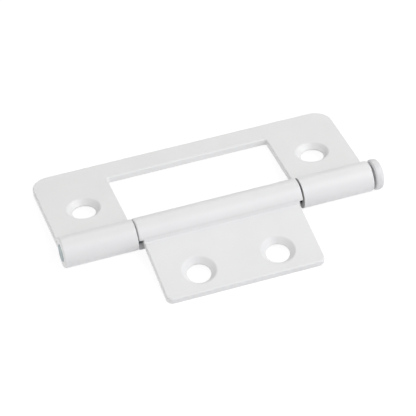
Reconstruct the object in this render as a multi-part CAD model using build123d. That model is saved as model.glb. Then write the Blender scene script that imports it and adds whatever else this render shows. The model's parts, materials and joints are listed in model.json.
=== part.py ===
from build123d import *
import os
from math import asin, atan2, cos, degrees, hypot, isclose, radians, sin, sqrt, tan

# Non-mortise hinge: two stamped and curled steel leaves on one headed pin.
# Millimetres. X runs along the pin, +Y towards the outer leaf, +Z up.
# The hinge lies open with its countersinks up: the barrel and both leaf edges touch z = 0.

# Sheet, the same for both leaves
sheet_thickness = 1.5
edge_round = 0.35
crease_radius = 0.2
curl_end_angle = 325.0

# Pin
pin_diameter = 4.4
head_diameter = 7.5
head_thickness = 2.15
head_rim_radius = 1.1
head_back_chamfer = 0.3
head_gap = 0.6
tail_stand = 0.15
tail_chamfer = 0.3
running_clearance = 0.08

# Outer leaf
outer_length = 76.2
outer_reach = 29.4
outer_corner_radius = 4.5
window_length = 40.5
window_corner_radius = 0.6
outer_hole_spacing = 57.5
outer_hole_from_pin = 13.65
knuckle_setback = 0.19

# Inner leaf
inner_reach = 21.45
inner_corner_radius = 1.6
inner_hole_spacing = 19.2
inner_hole_from_pin = 15.05
notch_angle = 24.0
knuckle_offset = -0.05

# Room round the inner leaf when it is folded into the window
window_side_gap = 1.1
window_rear_gap = 1.6
window_knuckle_gap = 0.15

# Countersunk screw holes
hole_diameter = 5.6
countersink_diameter = 8.1
countersink_angle = 90.0
countersink_lip = 0.15

# Worked out from the sizes above
pin_radius = pin_diameter / 2
outer_bore_radius = pin_radius
inner_bore_radius = pin_radius + running_clearance
inner_length = window_length - 2 * window_side_gap
centre_knuckle_length = window_length - 2 * window_knuckle_gap
window_reach = inner_reach + window_rear_gap
outer_knuckle_radius = outer_bore_radius + sheet_thickness
centre_knuckle_radius = inner_bore_radius + sheet_thickness


def bend_centre(bore_radius):
    """End view: the point that the crease beside the barrel is rolled round."""
    height = sheet_thickness / 2 + crease_radius
    reach = bore_radius + sheet_thickness + crease_radius
    return sqrt(reach**2 - height**2), height


def lift_angle(bore_radius):
    """Angle round the pin at which the sheet leaves its crease and starts to curl."""
    out, height = bend_centre(bore_radius)
    return degrees(atan2(height, out))


def curl(bore_radius, from_angle, start, end):
    """The rolled part of a knuckle: over the top, round and back underneath to the seam."""
    with BuildSketch(Plane.YZ) as section:
        with BuildLine():
            wrap = CenterArc((0, 0), bore_radius + sheet_thickness, from_angle, curl_end_angle - from_angle)
            bore = CenterArc((0, 0), bore_radius, from_angle, curl_end_angle - from_angle)
            Line(wrap @ 0, bore @ 0)
            Line(wrap @ 1, bore @ 1)
        make_face()
    return Pos(start, 0, 0) * extrude(section.sketch, amount=end - start)


def crease(bore_radius, start, end):
    """The reverse bend that joins a curl to its flat plate."""
    out, height = bend_centre(bore_radius)
    lift = lift_angle(bore_radius)
    with BuildSketch(Plane.YZ) as section:
        with BuildLine():
            top = CenterArc((out, height), crease_radius, 270, lift - 90)
            under = CenterArc((out, height), crease_radius + sheet_thickness, 270, lift - 90)
            Line(top @ 0, under @ 0)
            Line(top @ 1, under @ 1)
        make_face()
    return Pos(start, 0, 0) * extrude(section.sketch, amount=end - start)


def soften_rims(knuckle, ends, radii):
    """Rounds the show-side rims at the given ends of a knuckle, picked by the radius of their arcs."""
    arcs = knuckle.edges().filter_by(GeomType.CIRCLE)
    at_ends = [arc for arc in arcs if any(isclose(arc.center().X, end) for end in ends)]
    rims = [arc for arc in at_ends if any(isclose(arc.radius, radius) for radius in radii)]
    return fillet(rims, edge_round)


def plate(outline, front):
    """A flat stamped plate in the plane of the pin, soft on top except where the knuckles join it."""
    blank = extrude(Pos(0, 0, -sheet_thickness / 2) * outline, amount=sheet_thickness)
    top_edges = blank.faces().sort_by(Axis.Z)[-1].edges()
    return fillet([edge for edge in top_edges if edge.center().Y > front + edge_round / 4], edge_round)


def countersunk_hole(x, y):
    """The punched hole and its cone, opening upwards, with a slight bevel round its mouth."""
    top = sheet_thickness / 2
    bottom = -sheet_thickness / 2
    hole_radius = hole_diameter / 2
    mouth = countersink_diameter / 2
    half_angle = radians(countersink_angle / 2)
    depth = (mouth - hole_radius) / tan(half_angle)
    lip_start = (mouth + countersink_lip, top)
    lip_end = (mouth - countersink_lip * sin(half_angle), top - countersink_lip * cos(half_angle))
    with BuildSketch(Plane.XZ) as section:
        with BuildLine():
            Polyline((0, bottom), (hole_radius, bottom), (hole_radius, top - depth), lip_end, lip_start,
                     (0, top), close=True)
        make_face()
    return Pos(x, y, 0) * revolve(section.sketch, Axis.Z)


def outer_leaf():
    """The large leaf: a U round the window, with a knuckle on each arm."""
    front = bend_centre(outer_bore_radius)[0]
    with BuildSketch() as outline:
        with Locations((0, (front + outer_reach) / 2)):
            Rectangle(outer_length, outer_reach - front)
        fillet(outline.vertices().group_by(Axis.Y)[-1], outer_corner_radius)
        with Locations((0, (front + window_reach) / 2)):
            Rectangle(window_length, window_reach - front, mode=Mode.SUBTRACT)
        inside = outline.vertices().sort_by_distance((0, window_reach))[:2]
        fillet(inside, window_corner_radius)
    leaf = plate(outline.sketch, front)
    inner_end = window_length / 2 + knuckle_setback
    outer_end = outer_length / 2
    for start, end in ((-outer_end, -inner_end), (inner_end, outer_end)):
        knuckle = curl(outer_bore_radius, lift_angle(outer_bore_radius), start, end)
        knuckle += crease(outer_bore_radius, start, end)
        leaf += soften_rims(knuckle, (-outer_end, outer_end), (outer_knuckle_radius, crease_radius))
    for side in (-1, 1):
        leaf -= countersunk_hole(side * outer_hole_spacing / 2, outer_hole_from_pin)
    return leaf


def inner_leaf():
    """The small leaf, made reaching to +Y: its one long curl overhangs the notched plate at each end."""
    front = bend_centre(inner_bore_radius)[0]
    with BuildSketch() as outline:
        with Locations((0, (front + inner_reach) / 2)):
            Rectangle(inner_length, inner_reach - front)
        fillet(outline.vertices().group_by(Axis.Y)[-1], inner_corner_radius)
    leaf = plate(outline.sketch, front)
    plate_end = inner_length / 2
    tail_end = -knuckle_offset - centre_knuckle_length / 2
    head_end = -knuckle_offset + centre_knuckle_length / 2
    knuckle = curl(inner_bore_radius, notch_angle, tail_end, head_end)
    leaf += soften_rims(knuckle, (tail_end, head_end), (centre_knuckle_radius,))
    leaf += curl(inner_bore_radius, lift_angle(inner_bore_radius), -plate_end, plate_end)
    leaf += crease(inner_bore_radius, -plate_end, plate_end)
    for side in (-1, 1):
        leaf -= countersunk_hole(side * inner_hole_spacing / 2, inner_hole_from_pin)
    return leaf


def rod(radius, start, end):
    """A round bar between two places along the pin axis."""
    return Plane.YZ.offset(start) * extrude(Circle(radius), amount=end - start)


def hinge_pin():
    """The pin: a button head by the right-hand knuckle, and a chamfered tail at the other end."""
    head_back = outer_length / 2 + head_gap
    shank = rod(pin_radius, -outer_length / 2 - tail_stand, head_back)
    shank = chamfer(shank.edges().sort_by(Axis.X)[0], tail_chamfer)
    head = rod(head_diameter / 2, head_back, head_back + head_thickness)
    head = fillet(head.edges().sort_by(Axis.X)[-1], head_rim_radius)
    head = chamfer(head.edges().sort_by(Axis.X)[0], head_back_chamfer)
    return shank + head


def droop(reach):
    """Angle in degrees at which the leaf's far bottom edge meets the surface under the barrel."""
    half_sheet = sheet_thickness / 2
    return degrees(asin(centre_knuckle_radius / hypot(reach, half_sheet)) - atan2(half_sheet, reach))


outer_droop = droop(outer_reach)
inner_droop = droop(inner_reach)

pieces = {
    "outer_leaf": Rot(-outer_droop, 0, 0) * outer_leaf(),
    "inner_leaf": Rot(inner_droop, 0, 0) * Rot(0, 0, 180) * inner_leaf(),
    "hinge_pin": hinge_pin(),
}

# The origin is under the middle of the whole hinge, on the surface that it lies on
middle = Compound(list(pieces.values())).bounding_box().center()
to_origin = Pos(-middle.X, -middle.Y, centre_knuckle_radius)

os.makedirs("parts", exist_ok=True)
for name, piece in pieces.items():
    export_step(to_origin * piece, f"parts/{name}.step")
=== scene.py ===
import bpy
import json
import math
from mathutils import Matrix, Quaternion, Vector


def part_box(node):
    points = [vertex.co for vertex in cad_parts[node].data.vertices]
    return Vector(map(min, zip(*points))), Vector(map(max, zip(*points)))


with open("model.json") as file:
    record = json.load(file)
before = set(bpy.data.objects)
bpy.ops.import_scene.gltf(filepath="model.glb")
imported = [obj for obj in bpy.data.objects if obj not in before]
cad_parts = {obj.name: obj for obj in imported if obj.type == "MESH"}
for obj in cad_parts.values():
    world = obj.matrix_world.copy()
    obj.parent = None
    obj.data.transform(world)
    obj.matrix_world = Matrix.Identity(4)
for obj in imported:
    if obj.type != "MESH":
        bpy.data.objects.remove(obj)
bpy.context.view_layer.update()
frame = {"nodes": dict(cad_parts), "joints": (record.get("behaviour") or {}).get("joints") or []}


# Outer leaf
# One stamped sheet of 1.5 mm steel, pierced with the window and two countersunk holes, its two
# knuckles curled round the pin. It is powder coated white after forming. Shade is painted into the
# coat as grey: a band along the crease beside each knuckle, and the cut end of the right-hand one,
# where it faces the gap next to the middle one.

def linear(hex_colour):
    """An sRGB hex value as linear RGBA."""
    channels = [int(hex_colour[k:k + 2], 16) / 255 for k in (1, 3, 5)]
    return [c / 12.92 if c <= 0.04045 else ((c + 0.055) / 1.055) ** 2.4 for c in channels] + [1.0]


def add(tree, kind, settings=None, **inputs):
    """Adds a node, sets its properties, and sets or links its inputs by name."""
    node = tree.nodes.new(kind)
    for name, value in (settings or {}).items():
        setattr(node, name, value)
    for name, value in inputs.items():
        socket = next(s for s in node.inputs if s.identifier == name or s.name.replace(" ", "_") == name)
        if isinstance(value, bpy.types.NodeSocket):
            tree.links.new(value, socket)
        else:
            socket.default_value = value
    return node


def new_material(name):
    """A material without nodes, and its tree."""
    material = bpy.data.materials.new(name)
    material.use_nodes = True
    material.node_tree.nodes.clear()
    return material, material.node_tree


def metres(size_mm):
    """A size in millimetres, in the metres of the scene."""
    return size_mm / 1000


def per_mm(size_mm):
    """Noise scale, in cycles per metre, of a pattern whose features are this far apart."""
    return 1000.0 / size_mm


def dress(node_name, material):
    """Gives a carried-over solid its finish."""
    slots = frame["nodes"][node_name].data.materials
    slots.clear()
    slots.append(material)


# The coat, in values that the inner leaf and the head of the pin share. Its film is a little
# uneven, and its peel is the slight waviness of baked powder. The real grain is finer, and is
# drawn as coarse as it needs to show.
white = linear("#F2F2F2")
thin_white = linear("#EBEBEB")
# Painted shade, for the cut end of a knuckle seen in the gap between knuckles
gap_shade_grey = linear("#CACAC9")
coat_ior = 1.5
coat_roughness = 0.36
smoother_by = 0.05
rougher_by = 0.07
film_spacing_mm = 9.0
peel_spacing_mm = 1.1
peel_height_mm = 0.006
grain_spacing_mm = 0.28
grain_to_peel = 0.25
# Painted shade: the width of the grey band along the crease, and the depth of the grey on the cut end that
# faces the gap
crease_width_mm = 0.55
cut_end_depth_mm = 0.04
knuckle_radius_mm = 3.85

# The middle of the pin, from which the crease and the cut end are measured
pin = frame["joints"][0]["pos_m"]

# Which output of a Mix node carries the colour
colour_result = 2


def white_powder_coat(name, crease_from_pin_mm, crease_shade_grey, cut_end_from_middle_mm=None):
    """Satin white polyester powder, sprayed and baked: a plastic skin with faint orange peel."""
    material, tree = new_material(name)
    place = add(tree, "ShaderNodeTexCoord").outputs["Object"]
    film = add(tree, "ShaderNodeTexNoise", Vector=place, Scale=per_mm(film_spacing_mm), Detail=2.0)
    tint = add(tree, "ShaderNodeMix", {"data_type": "RGBA"}, Factor_Float=film.outputs["Fac"],
               A_Color=white, B_Color=thin_white)

    # Painted shade: a grey band along the crease where the sheet meets the knuckle, fading out over its
    # width
    out_mm, up_mm = crease_from_pin_mm
    crease = (0.0, pin[1] + metres(out_mm), pin[2] + metres(up_mm))
    end_view = add(tree, "ShaderNodeVectorMath", {"operation": "MULTIPLY"}, Vector=place,
                   Vector_001=(0.0, 1.0, 1.0))
    from_crease = add(tree, "ShaderNodeVectorMath", {"operation": "DISTANCE"},
                      Vector=end_view.outputs["Vector"], Vector_001=crease)
    crease_shade_mask = add(tree, "ShaderNodeMapRange", {"interpolation_type": "SMOOTHSTEP"},
                    Value=from_crease.outputs["Value"], From_Max=metres(crease_width_mm),
                    To_Min=1.0, To_Max=0.0)
    tint = add(tree, "ShaderNodeMix", {"data_type": "RGBA"}, Factor_Float=crease_shade_mask.outputs["Result"],
               A_Color=tint.outputs[colour_result], B_Color=linear(crease_shade_grey))

    # Painted shade: the cut end of the knuckle that faces the gap is tinted grey, within the knuckle's
    # circle
    if cut_end_from_middle_mm is not None:
        along_pin = add(tree, "ShaderNodeSeparateXYZ", Vector=place)
        at_cut = add(tree, "ShaderNodeMath", {"operation": "COMPARE"}, Value=along_pin.outputs["X"],
                     Value_001=pin[0] + metres(cut_end_from_middle_mm), Value_002=metres(cut_end_depth_mm))
        from_pin = add(tree, "ShaderNodeVectorMath", {"operation": "DISTANCE"},
                       Vector=end_view.outputs["Vector"], Vector_001=(0.0, pin[1], pin[2]))
        on_knuckle = add(tree, "ShaderNodeMath", {"operation": "LESS_THAN"},
                         Value=from_pin.outputs["Value"], Value_001=metres(knuckle_radius_mm))
        cut_end_shade_mask = add(tree, "ShaderNodeMath", {"operation": "MULTIPLY"},
                         Value=at_cut.outputs["Value"], Value_001=on_knuckle.outputs["Value"])
        tint = add(tree, "ShaderNodeMix", {"data_type": "RGBA"}, Factor_Float=cut_end_shade_mask.outputs["Value"],
                   A_Color=tint.outputs[colour_result], B_Color=gap_shade_grey)

    peel = add(tree, "ShaderNodeTexNoise", Vector=place, Scale=per_mm(peel_spacing_mm), Detail=1.0)
    grain = add(tree, "ShaderNodeTexNoise", Vector=place, Scale=per_mm(grain_spacing_mm), Detail=1.0)
    rough = add(tree, "ShaderNodeMapRange", Value=grain.outputs["Fac"],
                To_Min=coat_roughness - smoother_by, To_Max=coat_roughness + rougher_by)
    relief = add(tree, "ShaderNodeMath", {"operation": "MULTIPLY_ADD"}, Value=grain.outputs["Fac"],
                 Value_001=grain_to_peel, Value_002=peel.outputs["Fac"])
    bump = add(tree, "ShaderNodeBump", Height=relief.outputs["Value"],
               Distance=metres(peel_height_mm), Strength=1.0)
    coat = add(tree, "ShaderNodeBsdfPrincipled", Base_Color=tint.outputs[colour_result],
               IOR=coat_ior, Roughness=rough.outputs["Result"], Normal=bump.outputs["Normal"])
    add(tree, "ShaderNodeOutputMaterial", Surface=coat.outputs["BSDF"])
    return material


# Painted shade: darker grey in the crease, and grey on the cut end that faces the gap
outer_coat = white_powder_coat("satin_white_powder_coat_on_outer_leaf", crease_from_pin_mm=(3.84, 0.36),
                               crease_shade_grey="#C9C9C9", cut_end_from_middle_mm=20.44)
dress("outer_leaf", outer_coat)


# Inner leaf
# The small leaf of the same sheet, with one long knuckle between the other two. It is coated in
# the same batch. A faint grey line of painted shade lies along the knuckle, where the sheet begins to
# curl.

# Painted shade: a faint grey line along the crease of the knuckle
inner_coat = white_powder_coat("satin_white_powder_coat_on_inner_leaf", crease_from_pin_mm=(-3.55, 1.3),
                               crease_shade_grey="#E8E8E8")
dress("inner_leaf", inner_coat)


# Hinge pin
# A headed steel pin, zinc plated. Its button head is coated white with the leaves. The tail stays
# bare zinc, and the shank, seen in the gaps, is painted dark as shade, darkest towards the head.

def coated_and_bare_pin():
    """A slightly greyer white coat on the head, pale blue-grey zinc on the tail, and painted shade on the
    shank between.
    """
    zinc = linear("#A3AEB2")
    dull_zinc = linear("#838E91")
    # Painted shade for the shank in the gaps: a grey zinc and a near black
    shaded_zinc_grey = linear("#6F7678")
    shank_shade_black = linear("#1C1C1B")
    head_white = linear("#E4E4E5")
    zinc_roughness = 0.38
    cloud_spacing_mm = 0.8
    shank_shade_from_x = metres(-10)
    shank_shade_to_x = metres(10)
    tail_to_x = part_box("outer_leaf")[0].x + metres(1)
    head_from_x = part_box("outer_leaf")[1].x + metres(0.5)

    material, tree = new_material("zinc_plated_pin_with_coated_head")
    place = add(tree, "ShaderNodeTexCoord").outputs["Object"]
    along_pin = add(tree, "ShaderNodeSeparateXYZ", Vector=place).outputs["X"]
    cloud = add(tree, "ShaderNodeTexNoise", Vector=place, Scale=per_mm(cloud_spacing_mm), Detail=3.0)
    tail = add(tree, "ShaderNodeMix", {"data_type": "RGBA"}, Factor_Float=cloud.outputs["Fac"],
               A_Color=zinc, B_Color=dull_zinc)
    # Painted shade on the shank where it shows in the gaps: grey zinc darkening to near black towards the
    # head
    shade_towards_head = add(tree, "ShaderNodeMapRange", Value=along_pin, From_Min=shank_shade_from_x, From_Max=shank_shade_to_x)
    shank = add(tree, "ShaderNodeMix", {"data_type": "RGBA"}, Factor_Float=shade_towards_head.outputs["Result"],
                A_Color=shaded_zinc_grey, B_Color=shank_shade_black)
    on_tail = add(tree, "ShaderNodeMath", {"operation": "LESS_THAN"}, Value=along_pin, Value_001=tail_to_x)
    metal = add(tree, "ShaderNodeMix", {"data_type": "RGBA"}, Factor_Float=on_tail.outputs["Value"],
                A_Color=shank.outputs[colour_result], B_Color=tail.outputs[colour_result])
    bare = add(tree, "ShaderNodeBsdfPrincipled", Base_Color=metal.outputs[colour_result], Metallic=1.0,
               Roughness=zinc_roughness)

    peel = add(tree, "ShaderNodeTexNoise", Vector=place, Scale=per_mm(peel_spacing_mm), Detail=1.0)
    bump = add(tree, "ShaderNodeBump", Height=peel.outputs["Fac"], Distance=metres(peel_height_mm),
               Strength=1.0)
    coat = add(tree, "ShaderNodeBsdfPrincipled", Base_Color=head_white, Roughness=coat_roughness,
               IOR=coat_ior, Normal=bump.outputs["Normal"])
    on_head = add(tree, "ShaderNodeMath", {"operation": "GREATER_THAN"}, Value=along_pin,
                  Value_001=head_from_x)
    both = add(tree, "ShaderNodeMixShader", Fac=on_head.outputs["Value"], Shader=bare.outputs["BSDF"],
               Shader_001=coat.outputs["BSDF"])
    add(tree, "ShaderNodeOutputMaterial", Surface=both.outputs["Shader"])
    return material


dress("hinge_pin", coated_and_bare_pin())


# Table
# A plain white sheet under the hinge, faintly lit from below. It shows pure white where nothing
# shades it, and keeps the soft shadow of the hinge.

def seen_directly(tree):
    """1 for what the camera sees, in a reflection or through glass too, and 0 for light on the hinge."""
    path = add(tree, "ShaderNodeLightPath")
    seen = add(tree, "ShaderNodeMath", {"operation": "MAXIMUM"}, Value=path.outputs["Is Camera Ray"],
               Value_001=path.outputs["Is Glossy Ray"])
    seen = add(tree, "ShaderNodeMath", {"operation": "MAXIMUM"}, Value=seen.outputs["Value"],
               Value_001=path.outputs["Is Transmission Ray"])
    return seen.outputs["Value"]


def white_table():
    """Matt white paper for the light on the hinge, and a bright white sheet to the camera."""
    paper = linear("#E6E6E6")
    lit_through_strength = 0.09
    shaded_part = linear("#808080")
    bright_part = linear("#F2F2F2")

    material, tree = new_material("white_table")
    matt = add(tree, "ShaderNodeBsdfDiffuse", Color=paper)
    lit_through = add(tree, "ShaderNodeEmission", Color=linear("#FFFFFF"), Strength=lit_through_strength)
    backlit = add(tree, "ShaderNodeAddShader", Shader=matt.outputs["BSDF"],
                  Shader_001=lit_through.outputs["Emission"])
    shaded = add(tree, "ShaderNodeBsdfDiffuse", Color=shaded_part)
    glow = add(tree, "ShaderNodeEmission", Color=bright_part, Strength=1.0)
    bright = add(tree, "ShaderNodeAddShader", Shader=shaded.outputs["BSDF"],
                 Shader_001=glow.outputs["Emission"])
    both = add(tree, "ShaderNodeMixShader", Fac=seen_directly(tree), Shader=backlit.outputs["Shader"],
               Shader_001=bright.outputs["Shader"])
    add(tree, "ShaderNodeOutputMaterial", Surface=both.outputs["Shader"])
    return material


half_table = 1.5
corners = [(-half_table, -half_table, 0), (half_table, -half_table, 0),
           (half_table, half_table, 0), (-half_table, half_table, 0)]
table_mesh = bpy.data.meshes.new("table")
table_mesh.from_pydata(corners, [], [(0, 1, 2, 3)])
table_mesh.materials.append(white_table())
table = bpy.data.objects.new("table", table_mesh)
bpy.context.collection.objects.link(table)


# Studio light
# A pale room for fill, a strong soft box high on the right, a wide weak one low on the left that
# models the barrel, and a small one behind that lifts the far sides of the holes.

room_colour = linear("#E9E2FF")
room_strength = 0.2985

world = bpy.data.worlds.new("studio")
bpy.context.scene.world = world
world.use_nodes = True
tree = world.node_tree
tree.nodes.clear()
room = add(tree, "ShaderNodeBackground", Color=room_colour, Strength=room_strength)
backdrop = add(tree, "ShaderNodeBackground", Color=linear("#FFFFFF"), Strength=1.0)
both = add(tree, "ShaderNodeMixShader", Fac=seen_directly(tree), Shader=room.outputs["Background"],
           Shader_001=backdrop.outputs["Background"])
add(tree, "ShaderNodeOutputWorld", Surface=both.outputs["Shader"])

pin_middle = Vector(pin)


def direction(azimuth, elevation):
    """The way from the hinge to what stands at these angles: azimuth in degrees from -Y towards +X."""
    turn = math.radians(azimuth)
    rise = math.radians(elevation)
    return Vector((math.sin(turn) * math.cos(rise), -math.cos(turn) * math.cos(rise), math.sin(rise)))


def soft_box(name, azimuth, elevation, distance, width, height, watts, hex_colour):
    """An area lamp aimed at the pin, placed by the direction that it shines from."""
    back = direction(azimuth, elevation)
    lamp = bpy.data.lights.new(name, "AREA")
    lamp.shape = "RECTANGLE"
    lamp.size = width
    lamp.size_y = height
    lamp.energy = watts
    lamp.color = linear(hex_colour)[:3]
    lamp_object = bpy.data.objects.new(name, lamp)
    lamp_object.location = pin_middle + back * distance
    lamp_object.rotation_mode = "QUATERNION"
    lamp_object.rotation_quaternion = (-back).to_track_quat("-Z", "Y")
    bpy.context.collection.objects.link(lamp_object)


soft_box("right_soft_box", azimuth=60, elevation=45, distance=1.0, width=1.0, height=0.9,
         watts=8.05, hex_colour="#FDFFFA")
soft_box("left_soft_box", azimuth=-75, elevation=25, distance=1.0, width=2.4, height=0.9,
         watts=4.95, hex_colour="#FDFFEB")
soft_box("back_soft_box", azimuth=165, elevation=45, distance=1.0, width=0.5, height=0.5,
         watts=1.205, hex_colour="#F9FFDA")


# Camera
# At the photograph's own viewing angle: a long lens above the hinge and a little to its left,
# turned slightly about its own axis.

view_azimuth = -17.153
view_elevation = 42.362
view_roll = -2.296
view_distance = 0.51348
aim_from_pin = Vector((-0.001448, 0.002694, 0.0))
lens_mm = 189.32
sensor_mm = 36.0
nearest = 0.01
farthest = 10.0

back = direction(view_azimuth, view_elevation)
roll = Quaternion((0, 0, 1), math.radians(view_roll))
camera_data = bpy.data.cameras.new("camera")
camera_data.sensor_width = sensor_mm
camera_data.lens = lens_mm
camera_data.clip_start = nearest
camera_data.clip_end = farthest
camera = bpy.data.objects.new("camera", camera_data)
camera.location = pin_middle + aim_from_pin + back * view_distance
camera.rotation_mode = "QUATERNION"
camera.rotation_quaternion = (-back).to_track_quat("-Z", "Y") @ roll
bpy.context.collection.objects.link(camera)
bpy.context.scene.camera = camera

bpy.context.scene.view_settings.view_transform = "Standard"
